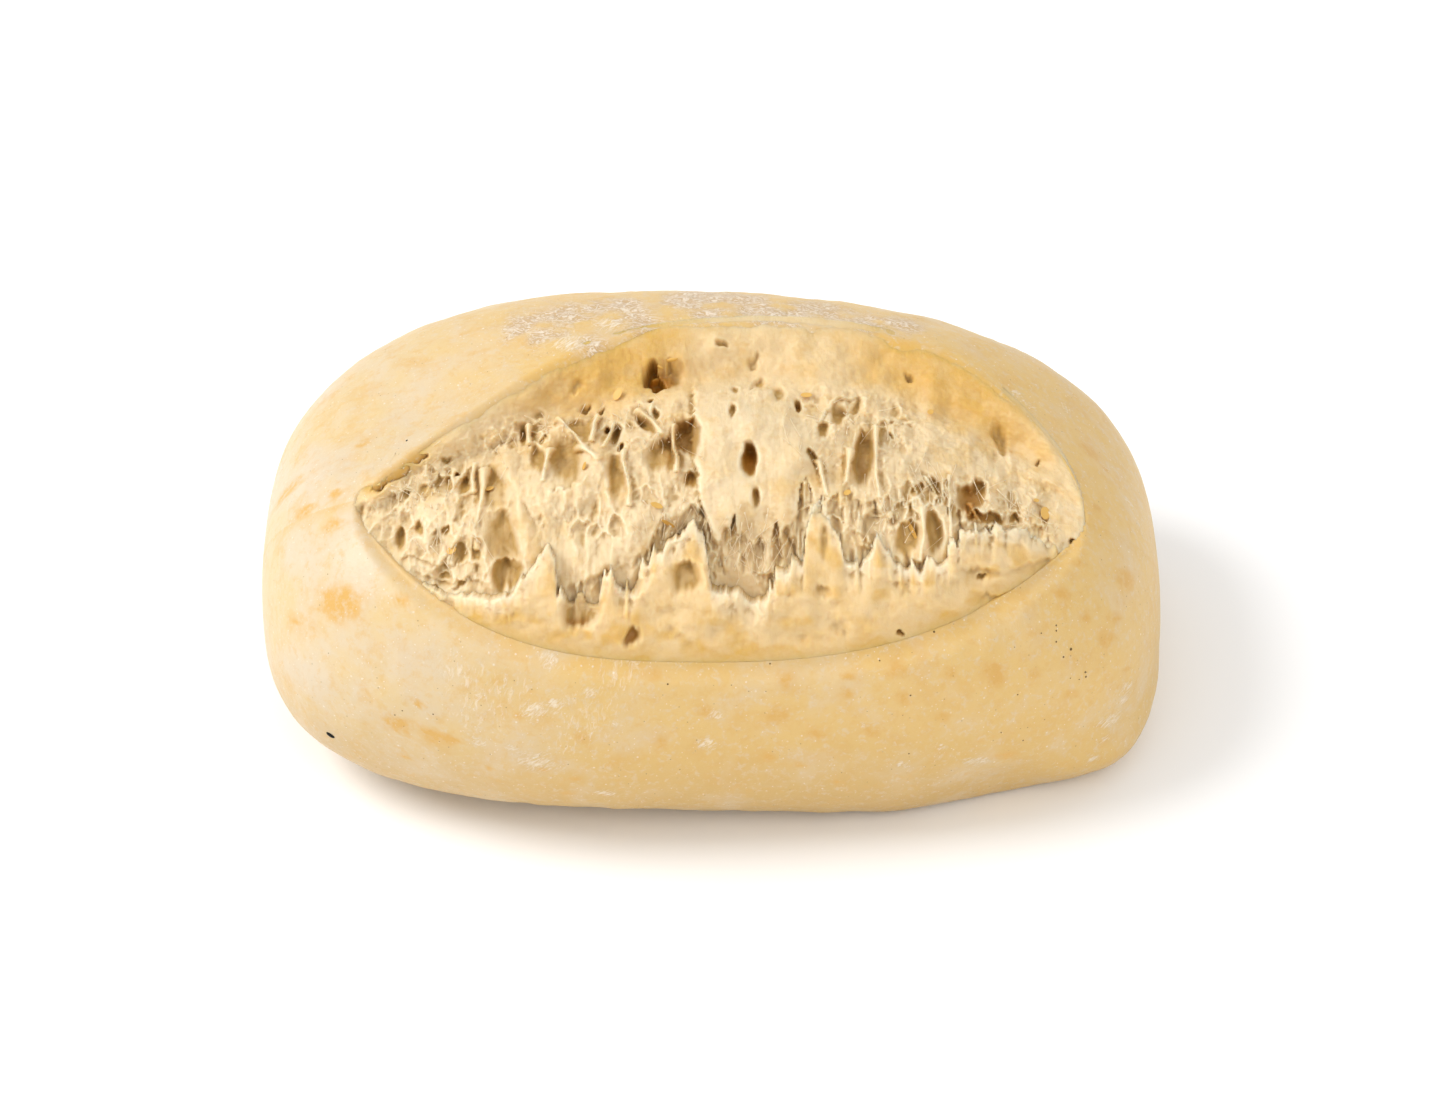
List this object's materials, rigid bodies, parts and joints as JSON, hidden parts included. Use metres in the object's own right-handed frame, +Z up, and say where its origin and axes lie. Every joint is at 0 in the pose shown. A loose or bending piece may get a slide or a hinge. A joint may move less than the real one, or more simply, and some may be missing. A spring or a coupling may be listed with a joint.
{
  "type": "bread roll",
  "caption": "Oblong part-baked bread roll with a pale crust, a flat base and a lengthwise slash torn open to a webbed, holed crumb.",
  "frame": {"origin": "middle of the roll's bounding box in plan, on the surface that the roll stands on", "axes": "+X along the roll, with the higher and fuller end at -X; +Z up; the slash faces -Y and up"},
  "size_m": [0.12, 0.0794, 0.0507],
  "materials": {
    "crust": "dull, pale part-baked crust, cream to tan, lightly floured",
    "crumb": "soft whitish crumb webs with tan hollows"
  },
  "bodies": {
    "root": {"bread_roll": "crust"}
  },
  "joints": []
}
